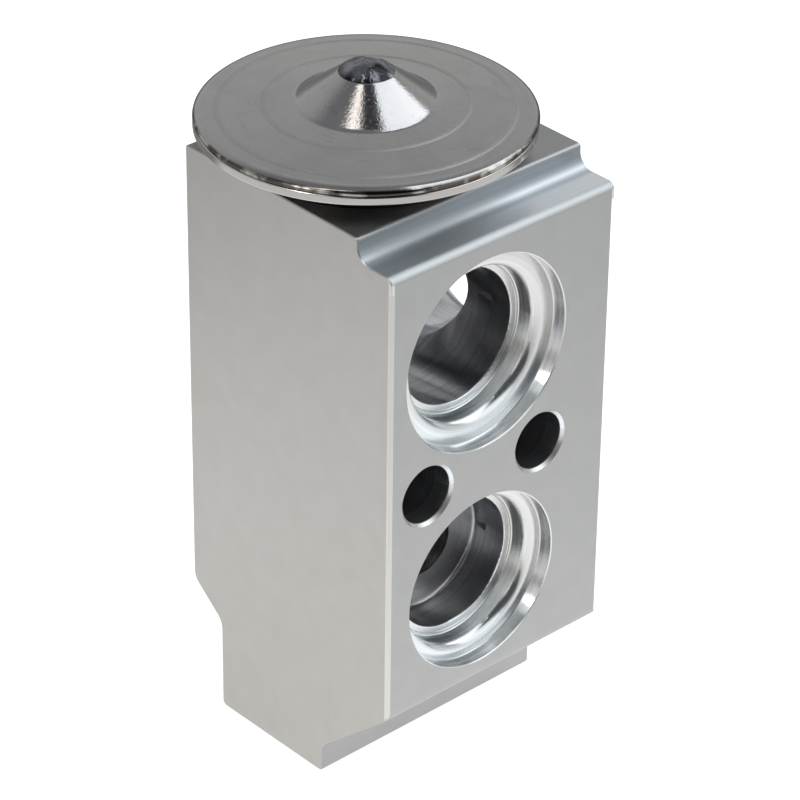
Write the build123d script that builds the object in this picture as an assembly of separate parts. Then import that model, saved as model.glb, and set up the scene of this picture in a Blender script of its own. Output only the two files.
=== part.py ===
from build123d import *
import os
from math import cos, radians, sqrt, tan

os.makedirs("parts", exist_ok=True)

# Expansion valve of the block kind, with its ports on two faces at right angles.
# Millimetres. The origin is on the valve's upright axis, in the plane of the block's foot.
# +Z is up towards the power head, -Y is the front face, +X is the side face with ports.

# Block, measured from the valve axis
block_left = 13.8
block_right = 18.2
block_front = 19.4
block_rear = 13.45
block_height = 70.8
deburr = 0.12
front_edge_chamfer = 0.4    # on the upright front edges
front_edge_end = 1.0        # the chamfer stops this far below the step's nose
top_step_depth = 5.25       # front face to the wall behind the top step
top_step_drop = 2.6
top_step_fillet = 1.7
top_step_nose = 0.9         # rounded front edge of the step
top_edge_round = 0.45
tongue_thick = 17.4         # the narrow foot of the section
front_foot_height = 3.5
front_foot_slope = 41.5     # degrees from level
rear_foot_height = 11.5
rear_foot_slope = 38.7
foot_bend_round = 2.0
foot_edge_round = 0.7

# Port pockets: a shallow recess, a rounded shoulder for the seal and a ledge round the bore
suction_z = 54.15
liquid_z = 25.35
suction_mouth_r = 11.45
liquid_mouth_r = 10.6
mouth_lead = 0.12
recess_depth = 1.85
recess_corner = 0.15
shoulder_r = 9.0
shoulder_round = 1.15
ledge_depth = 4.7
ledge_fall = 0.1            # the ledge is this much deeper at the bore
ledge_corner = 0.12
port_bore_r = 7.9
bore_edge_round = 0.15
liquid_port_depth = 9.6
liquid_floor_round = 0.5
port_short_of_elbow = 0.3   # straight bore stops this far before the crossing one
elbow_narrowing = 0.3       # taper of the suction bores from there to the valve axis
elbow_reach = 2.0           # the drill's full width runs this far past the axis
drill_point = 31.0          # degrees, half of what a drill tip lacks of flat
inlet_hole_r = 3.97
inlet_hole_reach = 1.0      # how far it breaks into the spring chamber
outlet_hole_r = 1.9

# Fastenings in the block
mount_z = 39.8
mount_spacing = 16.48
mount_hole_r = 3.4
mount_lead = 0.35
stud_hole_r = 2.5           # tapping size of the side plate's stud
stud_wall = 0.95            # metal left between the stud hole and the through hole
stud_lead = 0.4

# Bores on the valve axis, from the foot up
thread_r = 6.0
thread_depth = 6.7
thread_lead = 0.8
seal_bore_r = 5.65
seal_bore_length = 5.25
chamber_r = 5.2
seat_above_port = 1.95      # seat face above the liquid ports' axis
seat_r = 3.0
seat_thick = 1.3
room_r = 2.4                # space between the seat and the rod guide
hole_above_seat = 0.2
rod_r = 1.1
rod_clearance = 0.05
well_r = 4.2                # flat spot in the floor of the suction passage
well_below_bore = 0.3
pocket_r = 2.7              # holds the rod's seal and its retainer
pocket_depth = 3.6
passage_r = 7.2             # from the suction passage up to the power head
neck_r = 10.95
neck_clearance = 0.05
neck_length = 6.6
socket_spare = 0.6          # free depth below the neck
head_seal_leg = 1.7         # chamfer at the socket's mouth that takes the head's seal

# Power head
head_r = 18.4
head_lift = 3.05            # block top to the underside of the flange
sheet = 1.0
bend_round = 0.5
edge_round = 0.2
foot_ledge = 2.35           # the head's foot outside its neck
floor_thick = 1.1
clamp_width = 2.8           # band in which the covers clamp the diaphragm
dish_slope_width = 1.2      # below the clamped band
dish_wall_width = 1.8       # from there to the dish's floor
dish_knee_drop = 0.65
flange_width = 3.0          # head's edge to the skirt
skirt_knee = 0.3
skirt_knee_height = 0.7
neck_bore_r = 6.8
diaphragm_thick = 0.12
wave_count = 3
wave_clearance = 0.6        # from the stop's edge to the first wave
wave_height = 0.22
rim_height = 0.43           # upper cover above the diaphragm at its edge
rim_round = 0.4
rim_shoulder_width = 0.45   # the rolled rim's top, in from the edge
rim_shoulder_rise = 0.22
rim_shoulder_round = 1.1
rim_width = 1.0
plate_rise = 0.27           # plate's edge above the rim's edge
bead_widths = (2.5, 7.4)    # two fine raised rings on the plate, in from the head's edge
bead_half = 0.14
bead_height = 0.09
crown_rise = 1.05           # the plate climbs this much from its edge to the boss
boss_r = 7.65
boss_foot_round = 0.6
boss_nose_round = 0.5
boss_top_r = 3.05
boss_height = 4.4           # above the plate's edge
gas_roof_rise = 0.6
gas_wall_width = 0.3
fill_hole_r = 0.95
plug_dome = 1.25
plug_stem = 1.8

# Pieces that move with the diaphragm
stroke = 0.8
stop_clearance = 0.1
touch = 0.05                # gap left where two moving pieces only meet
stop_r = 10.5
stop_hub_r = 6.4
stop_hub_length = 4.3
sensor_r = 3.4
sensor_spigot_r = 2.4
sensor_spigot_length = 3.6
sensor_above_well = 1.2
sensor_lead = 0.4
rod_in_sensor = 4.0
orifice_r = 1.5
seat_cone_depth = 0.6
ball_r = 2.4
cup_clearance = 0.02
cup_drop = 1.15             # ball's centre to the carrier's rim
cup_rim_r = 3.1
cup_neck = 1.35             # rim to the flange
flange_r = 4.3
flange_thick = 1.1
stub_r = 2.2
stub_length = 2.4
clip_sheet = 0.2
clip_wall_gap = 0.1
clip_leg_drop = 5.0
clip_leg_width = 26.0       # degrees round the axis
clip_leg_count = 3
clip_leg_foot_in = 0.45

# Seals on the rod and on the adjuster
rod_seal_section_r = 0.74
rod_seal_lift = 0.05
retainer_thick = 0.5
retainer_hole_r = 1.5
retainer_below_well = 0.1
adjuster_seal_section_r = 0.9
seal_gap = 0.03

# Adjuster and spring
adjuster_recess = 1.3
adjuster_lead = 0.6
adjuster_travel = 1.0       # one turn of a thread of 1 mm pitch, each way
land_clearance = 0.1
groove_r = 3.8
groove_width = 2.3
groove_above_thread = 1.1
land_above_groove = 0.8
spring_pilot_r = 2.5
spring_pilot_length = 2.6
pilot_round = 0.4
hex_flats = 5.0
hex_depth = 3.2
spring_wire_r = 0.55
spring_mean_r = 3.5
spring_turns = 4.5
spring_seat_gap = 0.02

over = 1.0                  # how far a cutting tool starts outside the metal

# Heights and depths that follow from the sizes above
elbow_r = port_bore_r - elbow_narrowing
seat_z = liquid_z + seat_above_port
seat_top_z = seat_z + seat_thick
outlet_hole_z = seat_top_z + hole_above_seat + outlet_hole_r
room_top_z = outlet_hole_z + outlet_hole_r + hole_above_seat
well_z = suction_z - elbow_r - well_below_bore
pocket_z = well_z - pocket_depth
rod_bore_r = rod_r + rod_clearance
socket_r = neck_r + neck_clearance
neck_end_z = block_height - neck_length
socket_floor_z = neck_end_z - socket_spare
flange_z = block_height + head_lift
diaphragm_z = flange_z + sheet
cover_z = diaphragm_z + diaphragm_thick
head_foot_r = neck_r + foot_ledge
skirt_r = head_r - flange_width
clamp_r = head_r - clamp_width
dish_knee_r = clamp_r - dish_slope_width
dish_floor_r = dish_knee_r - dish_wall_width
wave_start_r = stop_r + wave_clearance
plate_r = head_r - rim_width
rim_z = cover_z + rim_height
plate_z = rim_z + plate_rise
boss_top_z = plate_z + boss_height
gas_roof_z = cover_z + gas_roof_rise
dish_floor_z = block_height + floor_thick
stop_under_z = dish_floor_z + stroke + stop_clearance
stop_top_z = diaphragm_z - touch
hub_end_z = stop_under_z - stop_hub_length
sensor_end_z = well_z + sensor_above_well
contact_r = ball_r / sqrt(2)
orifice_top_of_cone_z = seat_z + seat_cone_depth
seat_cone_r = orifice_r + seat_cone_depth
contact_z = orifice_top_of_cone_z - (contact_r - orifice_r)
ball_z = contact_z - contact_r - touch
ball_top_z = ball_z + ball_r
cup_z = ball_z - cup_drop
flange_top_z = cup_z - cup_neck
flange_under_z = flange_top_z - flange_thick
land_r = seal_bore_r - land_clearance
seal_bore_top_z = thread_depth + thread_r - seal_bore_r + seal_bore_length
adjuster_thread_top_z = thread_depth - adjuster_travel - touch
groove_z = adjuster_thread_top_z + groove_above_thread + adjuster_travel
groove_top_z = groove_z + groove_width
spring_seat_z = groove_top_z + land_above_groove
through_hole_edge = mount_spacing / 2 + mount_hole_r


def rounded_face(corners):
    """Face inside the corners. A corner's third number, where it has one, is its round."""
    points = [corner[:2] for corner in corners]
    radii = [corner[2] if len(corner) > 2 else 0 for corner in corners]
    return make_face(FilletPolyline(*points, radius=radii, close=True))


def turned(corners):
    """Solid turned about the upright axis from (radius, height) or (radius, height, round) corners."""
    return revolve(Plane.XZ * rounded_face(corners), Axis.Z)


def ring(centre_r, section_r, z):
    """Round-section seal ring."""
    return Pos(0, 0, z) * Torus(centre_r, section_r)


def upright_bar(radius, low_z, high_z):
    return Pos(0, 0, low_z) * Cylinder(radius, high_z - low_z, align=(Align.CENTER, Align.CENTER, Align.MIN))


def into_front(tool, z):
    """Put a tool that cuts along its own +Z so that it enters the front face at height z."""
    return Pos(0, -block_front, z) * Rot(-90, 0, 0) * tool


def into_side(tool, z):
    """The same, entering the side face."""
    return Pos(block_right, 0, z) * Rot(0, -90, 0) * tool


def front_edge_cutter():
    """Long square bar, turned on edge, that bevels one upright front edge of the block."""
    low = foot_shoulder_z()
    high = block_height - top_step_drop - top_step_nose - front_edge_end
    side = front_edge_chamfer * sqrt(2)
    bar = Box(side, side, high - low, align=(Align.CENTER, Align.CENTER, Align.MIN))
    return Pos(0, -block_front, low) * Rot(0, 0, 45) * bar


def foot_shoulder_z():
    """Height of the corner where the front face turns in towards the foot."""
    return front_foot_height + (block_front - tongue_thick / 2) * tan(radians(front_foot_slope))


def block_section():
    """The extruded bar's section, in front-to-back and height."""
    half = tongue_thick / 2
    front_knee = foot_shoulder_z()
    rear_knee = rear_foot_height + (block_rear - half) * tan(radians(rear_foot_slope))
    step_wall = block_front - top_step_depth
    corners = [
        (-half, 0, foot_edge_round),
        (-half, front_foot_height, foot_bend_round),
        (-block_front, front_knee, foot_bend_round),
        (-block_front, block_height - top_step_drop, top_step_nose),
        (-step_wall, block_height - top_step_drop, top_step_fillet),
        (-step_wall, block_height, top_edge_round),
        (block_rear, block_height, top_edge_round),
        (block_rear, rear_knee, foot_bend_round),
        (half, rear_foot_height, foot_bend_round),
        (half, 0, foot_edge_round),
    ]
    return rounded_face(corners)


def port_pocket(mouth_r, inner_corners):
    """Cutting tool for a pipe port, entering along +Z from the face at height 0."""
    bore_depth = ledge_depth + ledge_fall
    corners = [
        (0, -over),
        (mouth_r + mouth_lead + over, -over),
        (mouth_r, mouth_lead),
        (mouth_r, recess_depth, recess_corner),
        (shoulder_r, recess_depth, shoulder_round),
        (shoulder_r, ledge_depth, ledge_corner),
        (port_bore_r, bore_depth, bore_edge_round),
    ]
    return turned(corners + inner_corners)


def suction_port(axis_depth):
    """Port whose bore tapers to the valve axis and ends past it in a drill's point."""
    full = axis_depth + elbow_reach
    inner_corners = [
        (port_bore_r, axis_depth - port_bore_r - port_short_of_elbow),
        (elbow_r, axis_depth),
        (elbow_r, full),
        (0, full + elbow_r * tan(radians(drill_point))),
    ]
    return port_pocket(suction_mouth_r, inner_corners)


def liquid_port():
    """Blind port with a flat floor."""
    inner_corners = [
        (port_bore_r, liquid_port_depth, liquid_floor_round),
        (0, liquid_port_depth),
    ]
    return port_pocket(liquid_mouth_r, inner_corners)


def through_hole():
    """Cutting tool for one mounting hole, eased at both faces."""
    length = block_front + block_rear
    wide = mount_hole_r + mount_lead + over
    corners = [
        (0, -over),
        (wide, -over),
        (mount_hole_r, mount_lead),
        (mount_hole_r, length - mount_lead),
        (wide, length + over),
        (0, length + over),
    ]
    return turned(corners)


def stud_hole():
    depth = block_right - through_hole_edge - stud_wall
    corners = [
        (0, -over),
        (stud_hole_r + stud_lead + over, -over),
        (stud_hole_r, stud_lead),
        (stud_hole_r, depth),
        (0, depth),
    ]
    return turned(corners)


def axis_bores():
    """Every bore on the valve axis, as one turned cutting tool."""
    corners = [
        (0, -over),
        (thread_r + thread_lead + over, -over),
        (thread_r, thread_lead),
        (thread_r, thread_depth),
        (seal_bore_r, thread_depth + thread_r - seal_bore_r),
        (seal_bore_r, seal_bore_top_z),
        (chamber_r, seal_bore_top_z + seal_bore_r - chamber_r),
        (chamber_r, seat_z),
        (seat_r, seat_z),
        (seat_r, seat_top_z),
        (room_r, seat_top_z),
        (room_r, room_top_z),
        (rod_bore_r, room_top_z + (room_r - rod_bore_r) * tan(radians(drill_point))),
        (rod_bore_r, pocket_z),
        (pocket_r, pocket_z),
        (pocket_r, well_z),
        (well_r, well_z),
        (well_r, suction_z),
        (passage_r, suction_z),
        (passage_r, socket_floor_z),
        (socket_r, socket_floor_z),
        (socket_r, block_height - head_seal_leg),
        (socket_r + head_seal_leg + over, block_height + over),
        (0, block_height + over),
    ]
    return turned(corners)


def valve_block():
    """Aluminium block, sawn from an extruded bar and bored from four sides."""
    bar = extrude(Plane.YZ * block_section(), amount=block_left + block_right)
    bar = Pos(-block_left, 0, 0) * bar
    bar = chamfer(bar.faces().filter_by(Axis.X).edges(), deburr)
    bar -= Pos(-block_left, 0, 0) * front_edge_cutter()
    bar -= Pos(block_right, 0, 0) * front_edge_cutter()

    inlet_end = block_front - chamber_r + inlet_hole_reach
    inlet_hole = Cylinder(inlet_hole_r, inlet_end, align=(Align.CENTER, Align.CENTER, Align.MIN))
    outlet_hole = Cylinder(outlet_hole_r, block_right, align=(Align.CENTER, Align.CENTER, Align.MIN))

    bar -= into_front(suction_port(block_front), suction_z)
    bar -= into_side(suction_port(block_right), suction_z)
    bar -= into_front(liquid_port(), liquid_z)
    bar -= into_front(inlet_hole, liquid_z)
    bar -= into_side(liquid_port(), liquid_z)
    bar -= into_side(outlet_hole, outlet_hole_z)
    for side in (-1, 1):
        bar -= Pos(side * mount_spacing / 2, 0, 0) * into_front(through_hole(), mount_z)
    bar -= into_side(stud_hole(), mount_z)
    bar -= axis_bores()
    return bar


def head_lower_cover():
    """Pressed dish with a threaded neck, screwed into the top of the block."""
    corners = [
        (head_r, flange_z, edge_round),
        (head_r, diaphragm_z, edge_round),
        (clamp_r, diaphragm_z),
        (dish_knee_r, diaphragm_z - dish_knee_drop, sheet),
        (dish_floor_r, dish_floor_z, bend_round),
        (neck_bore_r, dish_floor_z),
        (neck_bore_r, neck_end_z),
        (neck_r, neck_end_z, bend_round),
        (neck_r, block_height),
        (head_foot_r, block_height),
        (head_foot_r + skirt_knee, block_height + skirt_knee_height, bend_round),
        (skirt_r, flange_z, edge_round),
    ]
    return turned(corners)


def plate_height(radius):
    """Height of the head's top plate, which climbs evenly from its edge to the boss."""
    return plate_z + crown_rise * (plate_r - radius) / (plate_r - boss_r)


def head_upper_cover():
    """Pressed lid with a flared boss in the middle, welded to the dish round its edge."""
    corners = [
        (fill_hole_r, boss_top_z),
        (fill_hole_r, gas_roof_z),
        (clamp_r - gas_wall_width, gas_roof_z, edge_round),
        (clamp_r, cover_z),
        (head_r, cover_z),
        (head_r, rim_z, rim_round),
        (head_r - rim_shoulder_width, rim_z + rim_shoulder_rise, rim_shoulder_round),
        (plate_r, plate_z),
    ]
    for width in bead_widths:
        bead_r = head_r - width
        corners += [
            (bead_r + bead_half, plate_height(bead_r + bead_half)),
            (bead_r, plate_height(bead_r) + bead_height, bead_half),
            (bead_r - bead_half, plate_height(bead_r - bead_half)),
        ]
    corners += [
        (boss_r, plate_height(boss_r), boss_foot_round),
        (boss_top_r, boss_top_z, boss_nose_round),
    ]
    return turned(corners)


def diaphragm():
    """Thin steel disc with pressed waves, clamped and welded between the two covers."""
    pitch = (clamp_r - wave_start_r) / (2 * wave_count)
    low = [(0, diaphragm_z), (wave_start_r, diaphragm_z)]
    edges = [Line(*low)]
    for number in range(2 * wave_count):
        start = wave_start_r + number * pitch
        side = wave_height if number % 2 else -wave_height
        edges.append(
            ThreePointArc((start, diaphragm_z), (start + pitch / 2, diaphragm_z + side), (start + pitch, diaphragm_z))
        )
    rim_r = head_r - edge_round
    edges.append(Line((clamp_r, diaphragm_z), (rim_r, diaphragm_z)))
    upper = [Pos(0, diaphragm_thick) * edge for edge in edges]
    ends = [
        Line((0, diaphragm_z), (0, diaphragm_z + diaphragm_thick)),
        Line((rim_r, diaphragm_z), (rim_r, diaphragm_z + diaphragm_thick)),
    ]
    return revolve(Plane.XZ * make_face(Curve() + edges + upper + ends), Axis.Z)


def charge_plug():
    """Domed plug welded over the fill hole."""
    dome_r = (boss_top_r**2 + plug_dome**2) / (2 * plug_dome)
    ball = Pos(0, 0, boss_top_z + plug_dome - dome_r) * Sphere(dome_r)
    head = ball & upright_bar(boss_top_r, boss_top_z, boss_top_z + plug_dome + over)
    return head + upright_bar(fill_hole_r, boss_top_z - plug_stem, boss_top_z + plug_dome / 2)


def head_seal_ring():
    """Ring squeezed into the chamfer of the socket by the head's foot."""
    section_r = (head_seal_leg + neck_clearance) * (1 - sqrt(0.5)) - seal_gap
    centre = section_r + seal_gap
    return ring(neck_r + centre, section_r, block_height - centre)


def diaphragm_stop():
    """Disc that the diaphragm pushes on, guided by its hub in the neck."""
    socket_top_z = hub_end_z + sensor_spigot_length
    corners = [
        (0, socket_top_z),
        (sensor_spigot_r, socket_top_z),
        (sensor_spigot_r, hub_end_z),
        (stop_hub_r, hub_end_z, bend_round),
        (stop_hub_r, stop_under_z),
        (stop_r, stop_under_z),
        (stop_r, stop_top_z, bend_round),
        (0, stop_top_z),
    ]
    return turned(corners)


def sensing_rod():
    """Aluminium rod that crosses the suction passage and carries its heat up to the head."""
    corners = [
        (0, sensor_end_z + rod_in_sensor),
        (rod_r, sensor_end_z + rod_in_sensor),
        (rod_r, sensor_end_z),
        (sensor_r - sensor_lead, sensor_end_z),
        (sensor_r, sensor_end_z + sensor_lead),
        (sensor_r, hub_end_z),
        (sensor_spigot_r, hub_end_z),
        (sensor_spigot_r, hub_end_z + sensor_spigot_length),
        (0, hub_end_z + sensor_spigot_length),
    ]
    return turned(corners)


def push_rod():
    return upright_bar(rod_r, ball_top_z, sensor_end_z + rod_in_sensor)


def rod_seal_ring():
    z = pocket_z + rod_seal_lift + rod_seal_section_r
    return ring(rod_r + seal_gap + rod_seal_section_r, rod_seal_section_r, z)


def rod_seal_retainer():
    """Pressed washer that keeps the rod's seal down."""
    top = well_z - retainer_below_well
    return upright_bar(pocket_r, top - retainer_thick, top) - upright_bar(retainer_hole_r, pocket_z, well_z)


def valve_seat():
    corners = [
        (seat_cone_r, seat_z),
        (seat_r, seat_z),
        (seat_r, seat_top_z),
        (orifice_r, seat_top_z),
        (orifice_r, orifice_top_of_cone_z),
    ]
    return turned(corners)


def valve_ball():
    return Pos(0, 0, ball_z) * Sphere(ball_r)


def ball_carrier():
    """Turned cup that holds the ball and centres the spring."""
    corners = [
        (0, flange_under_z - stub_length),
        (stub_r, flange_under_z - stub_length, pilot_round),
        (stub_r, flange_under_z),
        (flange_r, flange_under_z),
        (flange_r, flange_top_z),
        (cup_rim_r, flange_top_z),
        (cup_rim_r, cup_z, pilot_round),
        (0, cup_z),
    ]
    body = turned(corners)
    return body - Pos(0, 0, ball_z) * Sphere(ball_r + cup_clearance)


def damping_clip():
    """Sprung sheet ring on the carrier, with bowed legs that rub the chamber wall."""
    outer_r = chamber_r - clip_wall_gap
    bend_r = flange_r + clip_wall_gap
    low = flange_top_z
    bow_z = low - clip_leg_drop / 3
    foot_z = low - clip_leg_drop
    leg = Polyline(
        (bend_r, low),
        (outer_r - clip_sheet, bow_z),
        (outer_r - clip_sheet - clip_leg_foot_in, foot_z),
        (outer_r - clip_leg_foot_in, foot_z),
        (outer_r, bow_z),
        (outer_r - clip_sheet / 2, low + clip_sheet),
        (bend_r, low + clip_sheet),
        close=True,
    )
    strip = revolve(Plane.XZ * make_face(leg), Axis.Z, revolution_arc=clip_leg_width)
    clip = upright_bar(bend_r, low, low + clip_sheet) - upright_bar(cup_rim_r, low - over, low + over)
    for number in range(clip_leg_count):
        clip += Rot(0, 0, number * 360 / clip_leg_count) * strip
    return clip


def superheat_spring():
    """Coil spring with ground ends, between the carrier and the adjuster."""
    low = spring_seat_z + spring_seat_gap
    high = flange_under_z - spring_seat_gap
    pitch = (high - low) / spring_turns
    path = Helix(pitch, high - low, spring_mean_r)
    section = Plane(path @ 0, z_dir=path % 0) * Circle(spring_wire_r)
    coil = Pos(0, 0, low) * sweep(section, path=path, is_frenet=True)
    slab = upright_bar(spring_mean_r + 2 * spring_wire_r, low, high)
    return coil & slab


def adjusting_screw():
    """Screw that closes the spring chamber and sets the spring's load."""
    thread_side = thread_r - land_clearance
    corners = [
        (0, adjuster_recess),
        (thread_side, adjuster_recess, adjuster_lead),
        (thread_side, adjuster_thread_top_z),
        (land_r, adjuster_thread_top_z),
        (land_r, groove_z),
        (groove_r, groove_z),
        (groove_r, groove_top_z),
        (land_r, groove_top_z),
        (land_r, spring_seat_z),
        (spring_pilot_r, spring_seat_z),
        (spring_pilot_r, spring_seat_z + spring_pilot_length, pilot_round),
        (0, spring_seat_z + spring_pilot_length),
    ]
    body = turned(corners)
    corner_r = hex_flats / 2 / cos(radians(30))
    hexagon = extrude(RegularPolygon(corner_r, 6), amount=hex_depth + over)
    return body - Pos(0, 0, adjuster_recess - over) * hexagon


def adjuster_seal_ring():
    z = (groove_z + groove_top_z) / 2
    return ring(groove_r + seal_gap + adjuster_seal_section_r, adjuster_seal_section_r, z)


PIECES = {
    "valve_block": valve_block,
    "head_lower_cover": head_lower_cover,
    "head_upper_cover": head_upper_cover,
    "diaphragm": diaphragm,
    "charge_plug": charge_plug,
    "head_seal_ring": head_seal_ring,
    "diaphragm_stop": diaphragm_stop,
    "sensing_rod": sensing_rod,
    "push_rod": push_rod,
    "rod_seal_ring": rod_seal_ring,
    "rod_seal_retainer": rod_seal_retainer,
    "valve_seat": valve_seat,
    "valve_ball": valve_ball,
    "ball_carrier": ball_carrier,
    "damping_clip": damping_clip,
    "superheat_spring": superheat_spring,
    "adjusting_screw": adjusting_screw,
    "adjuster_seal_ring": adjuster_seal_ring,
}

for name, make in PIECES.items():
    export_step(make(), f"parts/{name}.step")
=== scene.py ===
import math

import bmesh
import bpy
from mathutils import Matrix, Vector, noise


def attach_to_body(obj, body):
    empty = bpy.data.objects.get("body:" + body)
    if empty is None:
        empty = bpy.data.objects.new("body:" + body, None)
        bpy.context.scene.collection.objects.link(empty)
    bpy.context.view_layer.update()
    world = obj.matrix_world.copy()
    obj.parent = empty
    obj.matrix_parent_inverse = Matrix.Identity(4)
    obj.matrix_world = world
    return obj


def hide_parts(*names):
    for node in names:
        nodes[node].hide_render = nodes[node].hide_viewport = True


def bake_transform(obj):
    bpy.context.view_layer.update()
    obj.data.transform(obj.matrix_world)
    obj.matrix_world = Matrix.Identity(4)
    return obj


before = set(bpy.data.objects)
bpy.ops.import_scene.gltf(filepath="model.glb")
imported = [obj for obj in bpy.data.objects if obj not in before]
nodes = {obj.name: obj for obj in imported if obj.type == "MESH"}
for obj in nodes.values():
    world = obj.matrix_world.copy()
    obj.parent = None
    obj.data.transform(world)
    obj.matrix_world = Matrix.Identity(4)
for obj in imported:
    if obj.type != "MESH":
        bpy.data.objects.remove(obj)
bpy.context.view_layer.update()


# Camera. The photograph looks down on the left front edge of the block through a long lens,
# fitted to the block's edges, the head's outline and the rims of both ports.
camera_azimuth = math.radians(-42.558)
camera_elevation = math.radians(31.471)
camera_roll = math.radians(0.712)
camera_distance = 0.41897
camera_aim = Vector((0.0022, -0.0030, 0.0408))
camera_offset = (0.000285, -0.000696)

back = Vector((
    math.sin(camera_azimuth) * math.cos(camera_elevation),
    -math.cos(camera_azimuth) * math.cos(camera_elevation),
    math.sin(camera_elevation),
))
level_right = Vector((math.cos(camera_azimuth), math.sin(camera_azimuth), 0))
level_up = back.cross(level_right)
right = math.cos(camera_roll) * level_right + math.sin(camera_roll) * level_up
up = math.cos(camera_roll) * level_up - math.sin(camera_roll) * level_right
lens = bpy.data.cameras.new("camera")
lens.sensor_width = 36
lens.lens = 171.02
lens.clip_start = 0.01
camera = bpy.data.objects.new("camera", lens)
bpy.context.scene.collection.objects.link(camera)
camera.matrix_world = Matrix.Translation(
    camera_aim + back * camera_distance + right * camera_offset[0] + up * camera_offset[1]
) @ Matrix((right, up, back)).transposed().to_4x4()
bpy.context.scene.camera = camera
bpy.context.scene.view_settings.view_transform = "Standard"


# Studio lamps. A wide cool softbox hangs over the right front, a narrow warm one over the left,
# and a small strong one stands lower at the left, which glints in the turned ports and the rim.
lamp_distance = 0.60
glint_way = (-0.82, -0.06, 0.57)


def softbox(name, toward, width, height, watts, colour):
    """A rectangular lamp that shines on the valve from one way, out of the camera's sight."""
    lamp = bpy.data.lights.new(name, "AREA")
    lamp.shape = "RECTANGLE"
    lamp.size = width
    lamp.size_y = height
    lamp.energy = watts
    lamp.color = colour
    box = bpy.data.objects.new(name, lamp)
    bpy.context.scene.collection.objects.link(box)
    box.location = camera_aim + Vector(toward).normalized() * lamp_distance
    box.rotation_euler = Vector(toward).to_track_quat("Z", "Y").to_euler()
    box.visible_camera = False


softbox(
    "softbox_right", toward=(0.56, -0.30, 0.77),
    width=0.50, height=0.62, watts=1.35, colour=(0.92, 0.965, 1.0),
)
softbox(
    "softbox_left", toward=(-0.41, 0.045, 0.91),
    width=0.10, height=0.34, watts=0.20, colour=(1.0, 0.95, 0.87),
)
softbox(
    "glint_left", toward=glint_way,
    width=0.10, height=0.10, watts=0.32, colour=(1.0, 0.98, 0.95),
)


# The room round the table, as the metal mirrors it: pale walls that darken to the ceiling, dark
# behind and over the camera and low down at the far side, which outlines the rim, and a lit
# screen at the left and at the right front. The camera itself sees plain white.
over_camera_way = (-0.36, -0.54, 0.76)
behind_camera_way = (-0.49, -0.87, 0)
far_way = (0.676, 0.736, 0)
right_screen_way = (0.34, -0.86, 0.38)
camera_side_dark = (0.035, 0.035, 0.04, 1)
far_side_dark = (0.24, 0.24, 0.24, 1)
screen_white = (1.25, 1.24, 1.22, 1)


def attach(tree, socket, value):
    """Link a socket to a shader input, or set the input to a plain value."""
    if isinstance(value, bpy.types.NodeSocket):
        tree.links.new(value, socket)
    else:
        socket.default_value = value


def add(tree, kind, inputs, **settings):
    """Add a shader node with its settings and inputs, and return its outputs."""
    node = tree.nodes.new("ShaderNode" + kind)
    for name, value in settings.items():
        setattr(node, name, value)
    for key, value in inputs.items():
        attach(tree, node.inputs[key], value)
    return node.outputs


def maths(tree, operation, *values):
    """One operation on sockets or plain numbers."""
    return add(tree, "Math", dict(enumerate(values)), operation=operation)[0]


def all_of(tree, *shares):
    """The product of several shares: 1 only where each of them is."""
    result = shares[0]
    for share in shares[1:]:
        result = maths(tree, "MULTIPLY", result, share)
    return result


def any_of(tree, *shares):
    """The largest of several shares: 1 where one of them is."""
    result = shares[0]
    for share in shares[1:]:
        result = maths(tree, "MAXIMUM", result, share)
    return result


def fade(tree, value, start, end):
    """Fade in along a value: 0 up to start, 1 from end on. It fades out if end is below start."""
    limits = {"Value": value, "From Min": start, "From Max": end}
    return add(tree, "MapRange", limits, interpolation_type="SMOOTHSTEP")[0]


def blend(tree, share, first, second):
    """Mix two colours, vectors or numbers."""
    if isinstance(first, (tuple, bpy.types.NodeSocketColor)):
        return add(tree, "Mix", {0: share, 6: first, 7: second}, data_type="RGBA")[2]
    if isinstance(first, bpy.types.NodeSocketVector):
        return add(tree, "Mix", {0: share, 4: first, 5: second}, data_type="VECTOR")[1]
    return add(tree, "Mix", {0: share, 2: first, 3: second})[0]


def ramp(tree, value, *stops):
    """Colours along a value, from (place, red, green, blue) stops."""
    node = tree.nodes.new("ShaderNodeValToRGB")
    tree.links.new(value, node.inputs[0])
    line = node.color_ramp.elements
    while len(line) < len(stops):
        line.new(1.0)
    for point, (place, *colour) in zip(line, stops):
        point.position = place
        point.color = (*colour, 1)
    return node.outputs[0]


def unit(tree, value):
    """A direction made one unit long."""
    return add(tree, "VectorMath", {0: value}, operation="NORMALIZE")[0]


def facing(tree, direction, way):
    """How nearly a direction points one way: 1 straight at it, 0 across it."""
    way = Vector(way).normalized()
    return add(tree, "VectorMath", {0: direction, 1: way}, operation="DOT_PRODUCT")["Value"]


world = bpy.data.worlds.new("studio_walls")
bpy.context.scene.world = world
world.use_nodes = True
tree = world.node_tree
tree.nodes.clear()
direction = add(tree, "TexCoord", {})["Generated"]
height = add(tree, "SeparateXYZ", {0: direction})["Z"]
room = ramp(
    tree, height,
    (0.0, 0.90, 0.90, 0.88), (0.25, 0.48, 0.48, 0.47), (0.4, 0.45, 0.45, 0.45),
    (0.55, 0.44, 0.44, 0.44), (0.68, 0.39, 0.39, 0.39), (0.82, 0.22, 0.22, 0.23),
)
level = add(tree, "VectorMath", {0: direction, 1: (1, 1, 0)}, operation="MULTIPLY")[0]
over_camera = fade(tree, facing(tree, direction, over_camera_way), 0.74, 0.88)
behind_camera = all_of(
    tree,
    fade(tree, facing(tree, unit(tree, level), behind_camera_way), 0.86, 0.95),
    fade(tree, height, 0.75, 0.60),
)
far_side = all_of(
    tree,
    fade(tree, facing(tree, direction, far_way), 0.50, 0.80),
    fade(tree, height, 0.26, 0.08),
)
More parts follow.
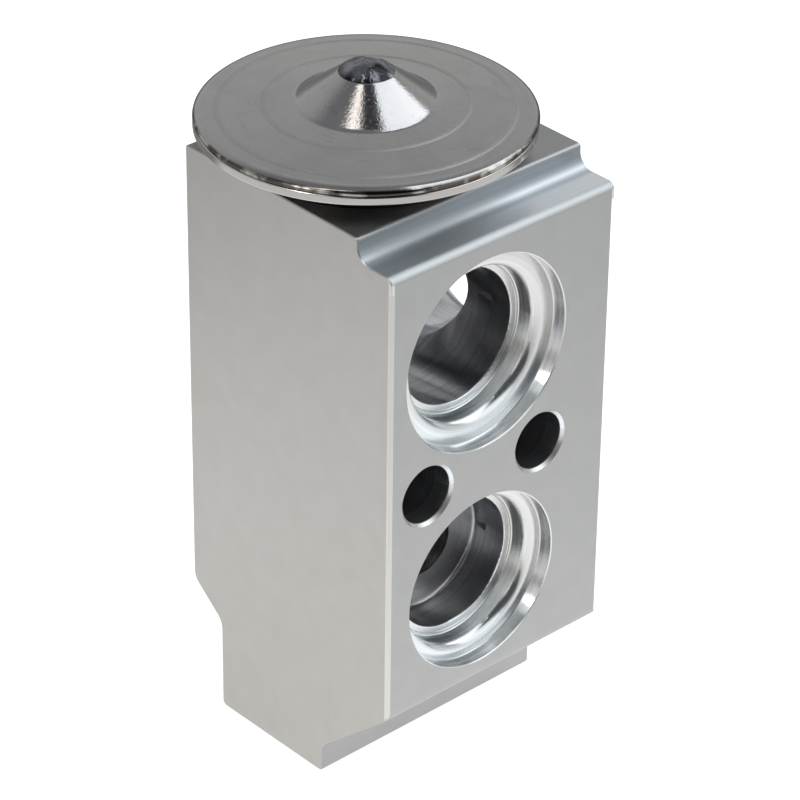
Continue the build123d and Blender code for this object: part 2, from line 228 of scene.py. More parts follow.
screens = any_of(
    tree,
    fade(tree, facing(tree, direction, right_screen_way), 0.90, 0.96),
    fade(tree, facing(tree, direction, glint_way), 0.94, 0.975),
)
room = blend(tree, any_of(tree, over_camera, behind_camera), room, camera_side_dark)
room = blend(tree, far_side, room, far_side_dark)
room = blend(tree, screens, room, screen_white)
ray = add(tree, "LightPath", {})
seen = add(tree, "Background", {"Color": (1, 1, 1, 1)})[0]
lit = add(tree, "Background", {"Color": room})[0]
either = add(tree, "MixShader", {0: ray["Is Camera Ray"], 1: lit, 2: seen})[0]
add(tree, "OutputWorld", {"Surface": either})


# Table. White paper that keeps a faint shadow under the foot. In the metal it is brightest near
# the foot, falls off outwards, and is dark at the far side like the room there.
table_half = 1.5
table_z = -0.0001
dark_from = 0.025
dark_to = 0.07
glow_inner = 0.02
glow_outer = 0.22
paper_white = (0.80, 0.80, 0.80, 1)
paper_dark = (0.28, 0.28, 0.28, 1)
far_side_glow = 0.30
seen_glow = 0.78


def spread(tree, value, low, gain):
    """A measure that starts at low and grows by gain while a pattern goes from 0 to 1."""
    return maths(tree, "ADD", low, maths(tree, "MULTIPLY", value, gain))


table_mesh = bpy.data.meshes.new("table_paper")
corners = [
    (-table_half, -table_half, table_z), (table_half, -table_half, table_z),
    (table_half, table_half, table_z), (-table_half, table_half, table_z),
]
table_mesh.from_pydata(corners, [], [(0, 1, 2, 3)])
table = bpy.data.objects.new("table_paper", table_mesh)
bpy.context.scene.collection.objects.link(table)
paper = bpy.data.materials.new("white_paper")
paper.use_nodes = True
tree = paper.node_tree
tree.nodes.clear()
ray = add(tree, "LightPath", {})
place = add(tree, "TexCoord", {})["Object"]
beyond = add(tree, "VectorMath", {0: place, 1: far_way}, operation="DOT_PRODUCT")["Value"]
lit_side = fade(tree, beyond, dark_to, dark_from)
not_mirrored = maths(tree, "SUBTRACT", 1.0, ray["Is Glossy Ray"])
paper_tone = blend(tree, any_of(tree, lit_side, not_mirrored), paper_dark, paper_white)
matt = add(tree, "BsdfDiffuse", {"Color": paper_tone})[0]
from_middle = add(tree, "VectorMath", {0: place}, operation="LENGTH")["Value"]
near = fade(tree, from_middle, glow_outer, glow_inner)
mirrored_glow = spread(tree, near, 0.24, 0.52)
side_glow = blend(tree, lit_side, far_side_glow, 1.0)
mirrored_glow = maths(tree, "MULTIPLY", mirrored_glow, side_glow)
strength = blend(tree, ray["Is Camera Ray"], mirrored_glow, seen_glow)
glow = add(tree, "Emission", {"Strength": strength})[0]
bright = add(tree, "AddShader", {0: matt, 1: glow})[0]
looked_at = any_of(tree, ray["Is Camera Ray"], ray["Is Glossy Ray"])
both = add(tree, "MixShader", {0: looked_at, 1: matt, 2: bright})[0]
add(tree, "OutputMaterial", {"Surface": both})
table_mesh.materials.append(paper)


# Valve block. Aluminium, sawn from an extruded bar: its ends are milled, its front, top, step and
# foot keep the die's lengthwise lines, and the ports and holes are turned and drilled into it.
block_centre_x = 2.2
block_half_length = 16.0
block_top_z = 70.8
front_y = -19.4
rear_y = 13.45
side_x = 18.2
edge_width = 0.44

# The step along the top front edge, with the fillet and the nose measured out from its wall
step_start_z = 67.5
step_wall_y = -14.15
fillet_middle = 0.6
fillet_end = 1.9
nose_start = 4.5
# Between these two places along the block the step's floor is painted from shade to light
floor_shade_x = -12
floor_lit_x = 14

# The ports: rim, elbow, depths where the bores turn dull, the painted cool reflection below the
# axis, feed marks
suction_z = 54.15
liquid_z = 25.35
port_edge_r = 11.65
elbow_reach = 7.9
front_dull_depth = 4.7
side_dull_depth = 9.5
reflection_top = -3.5
reflection_deep = -8.5
feed_r = 8.7
feed_pitch = 0.3
feed_slope = 0.34

# The two through holes, the stud hole and the bores on the valve's axis
mount_z = 39.8
mount_x = 8.24
mount_r = 3.4
mount_chamfer = 0.4
stud_edge_r = 2.9
stud_end_x = 12.0
foot_bore_r = 8.2
socket_r = 12.65

# How softly one finish gives way to the next, the face mill's centre, and the relief's depth
edge_blur = 0.05
end_blur = 0.1
mill_y = -52.0
mill_z = 20.0
relief_mm = 0.006


def metal_look(name, anisotropy=0.0):
    """A new material with a metal shader. Gives back the material and its node tree."""
    material = bpy.data.materials.new(name)
    material.use_nodes = True
    shader = material.node_tree.nodes["Principled BSDF"]
    shader.inputs["Metallic"].default_value = 1.0
    shader.inputs["Anisotropic"].default_value = anisotropy
    shader.inputs["Anisotropic Rotation"].default_value = 0.25
    return material, material.node_tree


def finish_look(tree, colour, roughness, height=None, depth_mm=0.0, along=None):
    """Feed a shader. Height 0 to 1 is depth_mm of relief, and along is the tool marks' way."""
    shader = tree.nodes["Principled BSDF"]
    attach(tree, shader.inputs["Base Color"], colour)
    attach(tree, shader.inputs["Roughness"], roughness)
    if height is not None:
        relief = {"Height": height, "Distance": depth_mm / 1000}
        attach(tree, shader.inputs["Normal"], add(tree, "Bump", relief)["Normal"])
    if along is not None:
        attach(tree, shader.inputs["Tangent"], along)


def place_mm(tree):
    """The point on the piece in millimetres, as a vector and as x, y and z."""
    spot = add(tree, "TexCoord", {})["Object"]
    spot = add(tree, "VectorMath", {0: spot, "Scale": 1000.0}, operation="SCALE")[0]
    parts = add(tree, "SeparateXYZ", {0: spot})
    return spot, parts[0], parts[1], parts[2]


def vector(tree, x, y, z):
    """A vector from its three measures."""
    return add(tree, "CombineXYZ", {0: x, 1: y, 2: z})[0]


def minus(tree, value):
    """The same measure the other way."""
    return maths(tree, "MULTIPLY", value, -1.0)


def distance(tree, a, b):
    """Distance from an axis, from the two offsets across it."""
    a_squared = maths(tree, "MULTIPLY", a, a)
    b_squared = maths(tree, "MULTIPLY", b, b)
    return maths(tree, "SQRT", maths(tree, "ADD", a_squared, b_squared))


def border(tree, value, edge, blur):
    """0 before an edge and 1 past it, with a soft border. A negative blur turns it round."""
    return fade(tree, value, edge - blur, edge + blur)


def under_face(tree, value, face, inward):
    """0 on a flat outer face and 1 just under it, where a cut wall begins."""
    return fade(tree, value, face + inward * 0.01, face + inward * 0.02)


def grain(tree, spot, scale, detail=2.0, roughness=0.5, stretch=(1, 1, 1)):
    """Noise from 0 to 1, with its scale in features for each millimetre along each axis."""
    stretched = add(tree, "VectorMath", {0: spot, 1: stretch}, operation="MULTIPLY")[0]
    inputs = {"Vector": stretched, "Scale": scale, "Detail": detail, "Roughness": roughness}
    return add(tree, "TexNoise", inputs)["Fac"]


def lines(tree, value, scale, detail=2.0):
    """Noise along one measure only, which draws rings or lengthwise lines."""
    inputs = {"W": value, "Scale": scale, "Detail": detail}
    return add(tree, "TexNoise", inputs, noise_dimensions="1D")["Fac"]


def tinted(tree, colour, tone):
    """A colour darkened by a tone."""
    mixed = {0: 1.0, 6: colour, 7: tone}
    return add(tree, "Mix", mixed, data_type="RGBA", blend_type="MULTIPLY")[2]


def layered(tree, *layers):
    """One relief from (pattern, weight) pairs. A negative weight sinks."""
    parts = [maths(tree, "MULTIPLY", pattern, weight) for pattern, weight in layers]
    total = parts[0]
    for part in parts[1:]:
        total = maths(tree, "ADD", total, part)
    return total


block_look, tree = metal_look("bored_aluminium", anisotropy=0.8)
spot, x, y, z = place_mm(tree)

# Where on the block a point lies
upper = border(tree, z, mount_z, 0.5)
from_port = maths(tree, "SUBTRACT", z, blend(tree, upper, liquid_z, suction_z))
front_r = distance(tree, x, from_port)
front_depth = maths(tree, "SUBTRACT", y, front_y)
side_r = distance(tree, y, from_port)
side_depth = maths(tree, "SUBTRACT", side_x, x)
in_front_port = all_of(
    tree,
    under_face(tree, front_depth, 0, 1),
    border(tree, y, -elbow_reach, -end_blur),
    fade(tree, front_r, port_edge_r + edge_blur, port_edge_r),
)
in_side_port = all_of(
    tree,
    under_face(tree, side_depth, 0, 1),
    border(tree, x, elbow_reach, end_blur),
    fade(tree, side_r, port_edge_r + edge_blur, port_edge_r),
)
in_port = any_of(tree, in_front_port, in_side_port)
hole_x = maths(tree, "SUBTRACT", maths(tree, "ABSOLUTE", x), mount_x)
hole_z = maths(tree, "SUBTRACT", z, mount_z)
in_hole = all_of(
    tree,
    border(tree, distance(tree, hole_x, hole_z), mount_r + mount_chamfer, -0.02),
    under_face(tree, front_depth, 0, 1),
    under_face(tree, y, rear_y, -1),
)
in_stud_hole = all_of(
    tree,
    fade(tree, distance(tree, y, hole_z), stud_edge_r + edge_blur, stud_edge_r),
    under_face(tree, side_depth, 0, 1),
    fade(tree, x, stud_end_x, stud_end_x + end_blur),
)
axis_r = distance(tree, x, y)
widest_bore = blend(tree, upper, foot_bore_r, socket_r)
in_axis_bore = all_of(
    tree,
    fade(tree, maths(tree, "SUBTRACT", axis_r, widest_bore), edge_blur, 0.0),
    under_face(tree, z, 0, 1),
    under_face(tree, z, block_top_z, -1),
)
off_centre = maths(tree, "ABSOLUTE", maths(tree, "SUBTRACT", x, block_centre_x))
on_end = border(tree, off_centre, block_half_length - 0.02, 0.01)
from_end = maths(tree, "SUBTRACT", block_half_length, off_centre)
off_edge = maths(tree, "ADD", from_end, front_depth)
edge_highlight = all_of(tree, border(tree, off_edge, edge_width, -0.02), fade(tree, z, 0, 1))
in_step = all_of(
    tree,
    border(tree, y, step_wall_y + 0.1, -0.02),
    border(tree, z, step_start_z, end_blur),
    maths(tree, "SUBTRACT", 1.0, on_end),
)

# The way the tool marks run at each place, and one measure across them for rings and lines.
# The milled ends carry the wide arcs of a face mill.
hole_side = maths(tree, "MULTIPLY", hole_x, maths(tree, "SIGN", x))
along = blend(tree, on_end, vector(tree, 1.0, 0.0, 0.0), vector(tree, 0.0, 0.35, 1.0))
die_lines = maths(tree, "SUBTRACT", z, maths(tree, "MULTIPLY", y, 1.7))
mill_r = distance(tree, maths(tree, "SUBTRACT", y, mill_y), maths(tree, "SUBTRACT", z, mill_z))
across = blend(tree, on_end, die_lines, mill_r)
axis_rings = maths(tree, "SUBTRACT", z, axis_r)
front_rings = maths(tree, "SUBTRACT", front_depth, front_r)
side_rings = maths(tree, "SUBTRACT", side_depth, side_r)
for share, way, measure in (
    (in_axis_bore, (minus(tree, y), x, 0.0), axis_rings),
    (in_front_port, (from_port, 0.0, minus(tree, x)), front_rings),
    (in_side_port, (0.0, from_port, minus(tree, y)), side_rings),
    (in_hole, (hole_z, 0.0, minus(tree, hole_side)), y),
    (in_stud_hole, (0.0, hole_z, minus(tree, y)), x),
):
    along = blend(tree, share, along, vector(tree, *way))
    across = blend(tree, share, across, measure)
along = unit(tree, along)

# Colour: satin outside with lighter warm ends and darker faces as painted light, painted shade and
# cool light in the step, clean in the ports with a painted cool reflection at their bottoms, dull
# in deep bores
mottle = grain(tree, spot, 0.35, detail=3.0)
streaks = lines(tree, across, 2.2, detail=3.0)
# The milled ends are warmer in tone and, as painted light, lighter than the faces, which are
# painted darker as shade
warm_lit_end = ramp(tree, mottle, (0.3, 0.485, 0.470, 0.450), (0.7, 0.505, 0.490, 0.470))
shaded_face = ramp(tree, mottle, (0.3, 0.405, 0.405, 0.405), (0.7, 0.425, 0.425, 0.424))
colour = blend(tree, on_end, shaded_face, warm_lit_end)
# Painted highlight: the narrow chamfers on the front vertical edges are coloured light
colour = blend(tree, edge_highlight, colour, (0.72, 0.71, 0.68, 1))
# Painted light and shade in the step, tinted cool as a painted reflection: dark at the foot of the
# wall, light on the fillet, the floor lighter towards the right, the nose a middle tone
painted_light_to_right = fade(tree, x, floor_shade_x, floor_lit_x)
floor_painted_shading = blend(tree, painted_light_to_right, (0.47, 0.51, 0.54, 1), (0.93, 0.96, 0.98, 1))
nose_painted_shading = (0.50, 0.525, 0.535, 1)
on_nose = border(tree, y, step_wall_y - nose_start, -0.3)
step_painted_shading = blend(tree, on_nose, floor_painted_shading, nose_painted_shading)
fillet_foot = border(tree, y, step_wall_y - fillet_middle, -0.3)
fillet_painted_shading = blend(tree, fillet_foot, (0.27, 0.30, 0.32, 1), (0.64, 0.68, 0.71, 1))
past_fillet = border(tree, y, step_wall_y - fillet_end, -0.5)
step_painted_shading = blend(tree, past_fillet, fillet_painted_shading, step_painted_shading)
streak_tone = ramp(tree, streaks, (0.3, 0.90, 0.91, 0.92), (0.7, 1, 1, 1))
colour = blend(tree, in_step, colour, tinted(tree, step_painted_shading, streak_tone))
clean_tone = ramp(tree, streaks, (0.3, 0.66, 0.66, 0.65), (0.7, 0.78, 0.78, 0.77))
# Painted reflection: below each port's axis the turned wall is coloured brighter and cooler, as
# the cool lamp mirrored there
cool_reflection_tone = ramp(tree, streaks, (0.3, 0.72, 0.77, 0.80), (0.7, 0.86, 0.90, 0.92))
port_tone = blend(tree, fade(tree, from_port, reflection_top, reflection_deep), clean_tone, cool_reflection_tone)
colour = blend(tree, any_of(tree, in_port, in_hole), colour, port_tone)
port_depth = blend(tree, in_side_port, front_depth, side_depth)
dull_from = blend(tree, in_side_port, front_dull_depth, side_dull_depth)
past_recess = fade(tree, maths(tree, "SUBTRACT", port_depth, dull_from), 0.0, 0.5)
past_chamfer = fade(tree, front_depth, mount_chamfer + 0.02, mount_chamfer + 0.1)
inside = any_of(
    tree,
    all_of(tree, in_port, past_recess),
    all_of(tree, in_hole, past_chamfer),
    in_stud_hole,
    all_of(tree, in_axis_bore, maths(tree, "SUBTRACT", 1.0, in_port)),
)
bore_tone = ramp(tree, streaks, (0.3, 0.34, 0.345, 0.36), (0.7, 0.46, 0.465, 0.48))
colour = blend(tree, inside, colour, bore_tone)

# Gloss: the die's skin and the milled ends are satin, turned faces bright with rougher rings
scuffs = grain(tree, spot, 1.3, detail=4.0, roughness=0.6)
gloss = blend(tree, in_step, spread(tree, scuffs, 0.33, 0.04), 0.37)
gloss = blend(tree, in_port, gloss, spread(tree, streaks, 0.14, 0.12))
gloss = blend(tree, inside, gloss, 0.24)

# Relief: fine lines along each face, a grainy skin outside and the tool's feed marks in the ports
skin_weight = maths(tree, "SUBTRACT", 0.12, maths(tree, "MULTIPLY", in_port, 0.12))
port_r = blend(tree, in_side_port, front_r, side_r)
in_recess = all_of(tree, in_port, fade(tree, port_r, feed_r - 0.1, feed_r))
feed_mark = maths(tree, "FRACT", maths(tree, "DIVIDE", port_depth, feed_pitch))
relief = layered(
    tree,
    (lines(tree, across, 7.0), 0.35),
    (lines(tree, across, 1.1), 0.5),
    (grain(tree, spot, 9.0), skin_weight),
    (all_of(tree, in_recess, feed_mark), feed_pitch * feed_slope / relief_mm),
)
finish_look(tree, colour, gloss, relief, relief_mm, along)
bare_metal = blend(tree, any_of(tree, in_port, inside), 1.0, 0.92)
attach(tree, tree.nodes["Principled BSDF"].inputs["Metallic"], bare_metal)


def dress(look, *names):
    """Give CAD pieces their look."""
    for name in names:
        for slot in nodes[name].material_slots:
            slot.material = look


dress(block_look, "valve_block")


# Power head. Two covers pressed from bright steel sheet and welded round the rim. The upper one
# has a rolled edge, two fine beads and a conical boss with the fill hole. The plate is smooth with
# handling scuffs, and the rolled rim is nearly a mirror.
head_r = 18.4
rim_start_r = 17.2
weld_shade_r = 18.0
seam_z = 74.9
cover_z = 74.97
roll_width = 1.25
roll_z = 75.11
roll_steps = 24
lid_sides = 288

# The plate climbs from its edge over both beads to the foot of the boss
plate_z = 75.67
plate_r = 17.4
crown_rise = 1.05
beads = (15.9, 11.0)
bead_half_width = 0.2
bead_height = 0.05
bead_round = 0.3
boss_r = 7.65
boss_foot_round = 1.4
boss_top_z = 80.07
boss_top_r = 3.05
boss_top_round = 0.5
fill_hole_r = 0.95

# The gas's room inside, and below the dish the heights between which the skirt is painted dark as
# shade
gas_room_r = 15.3
gas_room_slope = 0.3
gas_room_round = 0.2
gas_roof_z = 75.57
dish_z = 73.5
painted_shade_z = 72.8

# How close the scuffs lie outwards and along their arcs, and the relief's depth
scuffs_outward = 0.9
scuffs_round = 3.0
head_relief_mm = 0.008

head_look, tree = metal_look("pressed_steel", anisotropy=0.3)
spot, x, y, z = place_mm(tree)
axis_r = distance(tree, x, y)
round_axis = unit(tree, vector(tree, minus(tree, y), x, 0.0))
rings = lines(tree, maths(tree, "SUBTRACT", axis_r, z), 1.6, detail=3.0)
polar = vector(
    tree,
    maths(tree, "MULTIPLY", axis_r, scuffs_outward),
    maths(tree, "MULTIPLY", maths(tree, "DIVIDE", x, axis_r), scuffs_round),
    maths(tree, "MULTIPLY", maths(tree, "DIVIDE", y, axis_r), scuffs_round),
)
arcs = grain(tree, polar, 1.6, detail=4.0, roughness=0.6)
smudge = grain(tree, spot, 0.28, detail=3.0, roughness=0.55)
on_rim = fade(tree, axis_r, rim_start_r, rim_start_r + 0.4)
on_flange = all_of(tree, on_rim, border(tree, z, seam_z, -0.02))
weld_shade_band = all_of(
    tree,
    fade(tree, axis_r, weld_shade_r, weld_shade_r + 0.3),
    border(tree, z, seam_z, 0.02),
)
on_boss = fade(tree, axis_r, boss_r + 0.3, boss_r - 0.1)

# Colour: scuffed steel, at the weld dark with spatter and painted dark reflection, painted
# nearly black below the dish as shade
plate_tone = ramp(tree, smudge, (0.35, 0.52, 0.515, 0.515), (0.65, 0.56, 0.555, 0.555))
scuff_tone = ramp(tree, arcs, (0.30, 0.90, 0.90, 0.91), (0.42, 1, 1, 1))
tone = blend(tree, on_flange, tinted(tree, plate_tone, scuff_tone), (0.53, 0.515, 0.495, 1))
drops = grain(tree, spot, 0.5, detail=3.0)
spatter_and_shade = ramp(tree, drops, (0.45, 0.10, 0.09, 0.08), (0.62, 0.50, 0.48, 0.45))
# At the weld the lid's outer wall is darkened with lighter spots: partly the weld's own spatter,
# partly painted dark reflection of the rolled rim
tone = blend(tree, weld_shade_band, tone, spatter_and_shade)
# Painted shade: below the dish the cover is coloured nearly black
tone = blend(tree, fade(tree, z, dish_z, painted_shade_z), tone, (0.06, 0.057, 0.054, 1))

# Gloss: scuffs dull the plate a little, the beads are matt where the press tool bit
gloss = spread(tree, arcs, 0.05, 0.09)
for bead_r in beads:
    off_bead = maths(tree, "ABSOLUTE", maths(tree, "SUBTRACT", axis_r, bead_r))
    gloss = blend(tree, fade(tree, off_bead, 0.45, 0.25), gloss, 0.46)
gloss = blend(tree, on_boss, gloss, 0.11)
gloss = blend(tree, on_rim, gloss, 0.12)

# Relief: faint rings and scuffs, scattered pits, and a speckled boss where the sheet was stretched
cells = add(tree, "TexVoronoi", {"Vector": spot, "Scale": 2.2}, feature="F1")["Distance"]
speckle = all_of(tree, grain(tree, spot, 3.0, detail=3.0, roughness=0.6), on_boss)
relief = layered(
    tree,
    (rings, 0.20),
    (arcs, 0.25),
    (fade(tree, cells, 0.16, 0.10), -0.8),
    (speckle, 2.2),
)
finish_look(tree, tone, gloss, relief, head_relief_mm, round_axis)
dress(head_look, "head_lower_cover")


def rounded(corners, pieces=10):
    """An outline of (radius, height) points, with an arc where a corner gives a third number."""
    outline = []
    for number, (radius, level, *arc) in enumerate(corners):
        corner = Vector((radius, level))
        if not arc:
            outline.append(corner)
            continue
        to_last = (Vector(corners[number - 1][:2]) - corner).normalized()
        to_next = (Vector(corners[(number + 1) % len(corners)][:2]) - corner).normalized()
        half_angle = to_last.angle(to_next) / 2
        centre = corner + (to_last + to_next).normalized() * arc[0] / math.sin(half_angle)
        start = corner + to_last * arc[0] / math.tan(half_angle) - centre
        sweep = start.angle_signed(corner + to_next * arc[0] / math.tan(half_angle) - centre)
        for part in range(pieces + 1):
            outline.append(centre + Matrix.Rotation(-sweep * part / pieces, 2) @ start)
    return outline


def join_loops(shape, loops):
    """Smooth faces from each closed loop of points to the next one."""
    for first, second in zip(loops, loops[1:]):
        for side in range(len(first)):
            after = (side + 1) % len(first)
            face = shape.faces.new((first[side], first[after], second[after], second[side]))
            face.smooth = True


def new_piece(name, shape, look):
    """Make a piece in the scene from a built shape, with its faces turned outwards."""
    bmesh.ops.recalc_face_normals(shape, faces=shape.faces)
    mesh = bpy.data.meshes.new(name)
    shape.to_mesh(mesh)
    shape.free()
    mesh.materials.append(look)
    piece = bpy.data.objects.new(name, mesh)
    bpy.context.scene.collection.objects.link(piece)
    return piece


def turned_piece(name, outline, sides, look, long_run=0.6, support=0.06):
    """A closed outline of (radius, height) points in millimetres, turned round the valve's axis.
    A long straight run gets a ring near each end, so that it is shaded flat between them."""
    stops = []
    for first, second in zip(outline, outline[1:] + outline[:1]):
        run = second - first
        stops.append(first)
        if run.length > long_run:
            inset = run.normalized() * support
            stops += [first + inset, second - inset]
    shape = bmesh.new()
    loops = []
    for radius, level in stops:
        loop = []
        for side in range(sides):
            turn = 2 * math.pi * side / sides
            point = Vector((radius * math.cos(turn), radius * math.sin(turn), level))
            loop.append(shape.verts.new(point / 1000))
        loops.append(loop)
    join_loops(shape, loops + loops[:1])
    bmesh.ops.remove_doubles(shape, verts=shape.verts, dist=1e-7)
    piece = new_piece(name, shape, look)
    piece.data.set_sharp_from_angle(angle=math.radians(30))
    return piece


def plate_height(radius):
    """Height of the top plate, which climbs evenly from its edge to the boss."""
    return plate_z + crown_rise * (plate_r - radius) / (plate_r - boss_r)


lid_corners = [
    (fill_hole_r, boss_top_z),
    (fill_hole_r, gas_roof_z),
    (gas_room_r, gas_roof_z, gas_room_round),
    (gas_room_r + gas_room_slope, cover_z),
    (head_r, cover_z),
]
roll_height = plate_height(head_r - roll_width) - roll_z
for roll_step in range(roll_steps + 1):
    turn = math.pi / 2 * (1 - roll_step / roll_steps)
    roll_r = head_r - roll_width * (1 - math.sin(turn))
    lid_corners.append((roll_r, roll_z + roll_height * math.cos(turn)))
for bead_r in beads:
    outer_r = bead_r + bead_half_width
    inner_r = bead_r - bead_half_width
    lid_corners += [
        (outer_r, plate_height(outer_r)),
        (bead_r, plate_height(bead_r) + bead_height, bead_round),
        (inner_r, plate_height(inner_r)),
    ]
lid_corners += [
    (boss_r, plate_height(boss_r), boss_foot_round),
    (boss_top_r, boss_top_z, boss_top_round),
]
lid = turned_piece("pressed_lid", rounded(lid_corners), lid_sides, head_look)
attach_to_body(lid, "valve_body")
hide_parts("head_upper_cover")


# Charge plug. The bead left where the fill hole was welded shut: dark oxide skin, glassy and
# lumpy. It stands as a flat dome on the boss, with a short stem in the hole.
plug_dome = 1.25
plug_stem = 1.8
plug_sides = 120
dome_rings = 40
dent_mm = 0.6
dent_scale = 520
dent_fade = 0.5
plug_look, tree = metal_look("weld_bead")
spot = place_mm(tree)[0]
oxide = grain(tree, spot, 0.45, detail=1.0)
skin = grain(tree, spot, 2.5, detail=3.0)
tone = ramp(tree, oxide, (0.42, 0.03, 0.03, 0.035), (0.62, 0.30, 0.31, 0.34))
finish_look(tree, tone, 0.08, skin, 0.05)
dome_r = (boss_top_r ** 2 + plug_dome ** 2) / (2 * plug_dome)
dome_z = boss_top_z + plug_dome - dome_r
opening = math.asin(boss_top_r / dome_r)
plug_outline = [
    Vector((0, boss_top_z - plug_stem)),
    Vector((fill_hole_r, boss_top_z - plug_stem)),
    Vector((fill_hole_r, boss_top_z)),
    Vector((boss_top_r, boss_top_z)),
]
for ring in range(1, dome_rings + 1):
    tilt = opening * (1 - ring / dome_rings)
    plug_outline.append(Vector((dome_r * math.sin(tilt), dome_z + dome_r * math.cos(tilt))))
plug = turned_piece("plug_bead", plug_outline, plug_sides, plug_look)
dome_centre = Vector((0, 0, dome_z / 1000))
for point in plug.data.vertices:
    above = point.co.z * 1000 - boss_top_z
    if above > 0.001:
        dent = dent_mm * max(noise.noise(point.co * dent_scale), 0)
        sink = dent * min(above / dent_fade, 1)
        point.co -= (point.co - dome_centre).normalized() * sink / 1000
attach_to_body(plug, "valve_body")
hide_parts("charge_plug")


# Diaphragm and damping clip. Both are cut from thin rolled spring steel. The diaphragm is clamped
# between the two covers and burnt brown along the welded rim, and the clip's legs press on the
# wall of the bore and keep the ball's carrier from rattling.
weld_heat_r = 17.0
rolled_look, tree = metal_look("rolled_spring_steel")
spot, x, y, _ = place_mm(tree)
rolling = grain(tree, spot, 1.0, detail=3.0, stretch=(0.3, 6.0, 1.0))
tone = ramp(tree, rolling, (0.3, 0.42, 0.41, 0.39), (0.7, 0.55, 0.54, 0.52))
heated = fade(tree, distance(tree, x, y), weld_heat_r, weld_heat_r + 1.0)
tone = blend(tree, heated, tone, (0.10, 0.085, 0.07, 1))
finish_look(tree, tone, spread(tree, rolling, 0.2, 0.15), rolling, 0.003)
dress(rolled_look, "diaphragm", "damping_clip")


# Diaphragm stop, rod seal retainer and valve seat. Small steel parts off the lathe: the stop lies
# under the diaphragm, and the retainer and the seat are pressed into the block's bores. Fine rings
# run round them, with a faint uneven stain.
def turned_look(name, dark, bright, low_gloss, ring_scale, ring_mm):
    """A lathe finish: rings between two tones, round the valve's axis."""
    look, tree = metal_look(name, anisotropy=0.4)
    spot, x, y, z = place_mm(tree)
    round_axis = unit(tree, vector(tree, minus(tree, y), x, 0.0))
    off_axis = maths(tree, "SUBTRACT", z, distance(tree, x, y))
    rings = lines(tree, off_axis, ring_scale, detail=3.0)
    stain = grain(tree, spot, 0.6, detail=3.0)
    tone = ramp(tree, rings, (0.3, *dark), (0.7, *bright))
    finish_look(tree, tone, spread(tree, stain, low_gloss, 0.12), rings, ring_mm, round_axis)
    return look


turned_steel = turned_look(
    "turned_steel", dark=(0.42, 0.42, 0.42), bright=(0.58, 0.58, 0.59),
    low_gloss=0.16, ring_scale=5.0, ring_mm=0.006,
)
dress(turned_steel, "diaphragm_stop", "rod_seal_retainer", "valve_seat")


# Push rod. A thin hard steel pin, ground all along so that it slides through its seal ring without
# wearing it, and pushes the ball down off the seat. The grinder leaves only hair-fine rings.
ground_steel = turned_look(
    "ground_steel", dark=(0.52, 0.52, 0.53), bright=(0.62, 0.62, 0.63),
    low_gloss=0.10, ring_scale=12.0, ring_mm=0.002,
)
dress(ground_steel, "push_rod")


# Sensing rod. Turned from aluminium bar, which takes the gas's heat up to the head quickly. It
# stands across the suction passage between the diaphragm stop and the push rod.
turned_aluminium = turned_look(
    "turned_aluminium", dark=(0.48, 0.48, 0.48), bright=(0.66, 0.66, 0.66),
    low_gloss=0.2, ring_scale=4.0, ring_mm=0.010,
)
dress(turned_aluminium, "sensing_rod")


# Ball carrier and adjusting screw. Turned from brass bar: the carrier's cup holds the ball on top
# of the spring, and the screw closes the foot's bore and sets how hard the spring pushes.
turned_brass = turned_look(
    "turned_brass", dark=(0.52, 0.38, 0.15), bright=(0.70, 0.54, 0.25),
    low_gloss=0.2, ring_scale=5.0, ring_mm=0.010,
)
dress(turned_brass, "ball_carrier", "adjusting_screw")


# Valve ball. A bearing ball of hard steel, lapped to a mirror, which sits in the carrier's cup
# and shuts against the seat.
polished_ball = turned_look(
    "polished_ball", dark=(0.68, 0.68, 0.70), bright=(0.74, 0.74, 0.76),
    low_gloss=0.03, ring_scale=8.0, ring_mm=0.0005,
)
dress(polished_ball, "valve_ball")


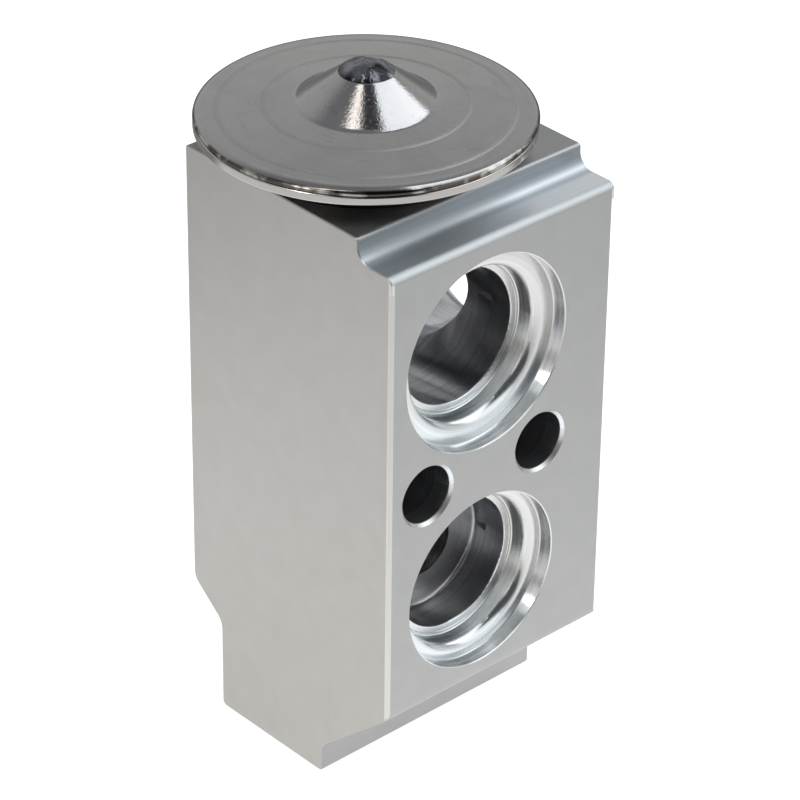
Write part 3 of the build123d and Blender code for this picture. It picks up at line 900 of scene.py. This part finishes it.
# Seal rings. Moulded dark green rubber with a satin skin, oiled when they were fitted: one under
# the head, one round the push rod and one round the adjusting screw.
rubber_look = bpy.data.materials.new("green_rubber")
rubber_look.use_nodes = True
tree = rubber_look.node_tree
skin = grain(tree, place_mm(tree)[0], 3.0, detail=3.0)
green = ramp(tree, skin, (0.3, 0.010, 0.035, 0.020), (0.7, 0.022, 0.060, 0.036))
finish_look(tree, green, spread(tree, skin, 0.32, 0.2), skin, 0.02)
dress(rubber_look, "head_seal_ring", "rod_seal_ring", "adjuster_seal_ring")


# Superheat spring. Round spring-steel wire, coiled and ground flat at both ends so that it stands
# square between the screw and the ball's carrier. It is built as a lower and an upper half, which
# meet at the middle.
spring_low = 10.87
spring_high = 22.34
wire_r = 0.55
coil_r = 3.5
coil_turns = 4.5
stations = 360
wire_sides = 20
wire_look, tree = metal_look("drawn_wire")
x, y, z = place_mm(tree)[1:]
wire_side = maths(tree, "SUBTRACT", distance(tree, x, y), maths(tree, "MULTIPLY", z, 0.05))
drawn = lines(tree, wire_side, 9.0)
tone = ramp(tree, drawn, (0.3, 0.40, 0.40, 0.41), (0.7, 0.56, 0.56, 0.57))
finish_look(tree, tone, spread(tree, drawn, 0.16, 0.1), drawn, 0.004)


def half_spring(name, first_station, last_station):
    """The wire between two stations along it, closed at both ends."""
    shape = bmesh.new()
    loops = []
    climb = (spring_high - spring_low) / (coil_turns * 2 * math.pi)
    for station in range(first_station, last_station + 1):
        share = station / stations
        angle = share * coil_turns * 2 * math.pi
        outward = Vector((math.cos(angle), math.sin(angle), 0))
        forward = Vector((-math.sin(angle) * coil_r, math.cos(angle) * coil_r, climb))
        upward = forward.normalized().cross(outward)
        level = spring_low + share * (spring_high - spring_low)
        centre = outward * coil_r + Vector((0, 0, level))
        loop = []
        for side in range(wire_sides):
            turn = 2 * math.pi * side / wire_sides
            point = centre + outward * (math.cos(turn) * wire_r)
            point += upward * (math.sin(turn) * wire_r)
            point.z = min(max(point.z, spring_low), spring_high)
            loop.append(shape.verts.new(point / 1000))
        loops.append(loop)
    join_loops(shape, loops)
    shape.faces.new(loops[0])
    shape.faces.new(reversed(loops[-1]))
    half = new_piece(name, shape, wire_look)
    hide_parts("superheat_spring")
    return half


lower_half = half_spring("superheat_spring_lower", 0, stations // 2)
upper_half = half_spring("superheat_spring_upper", stations // 2, stations)
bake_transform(lower_half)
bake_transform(upper_half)
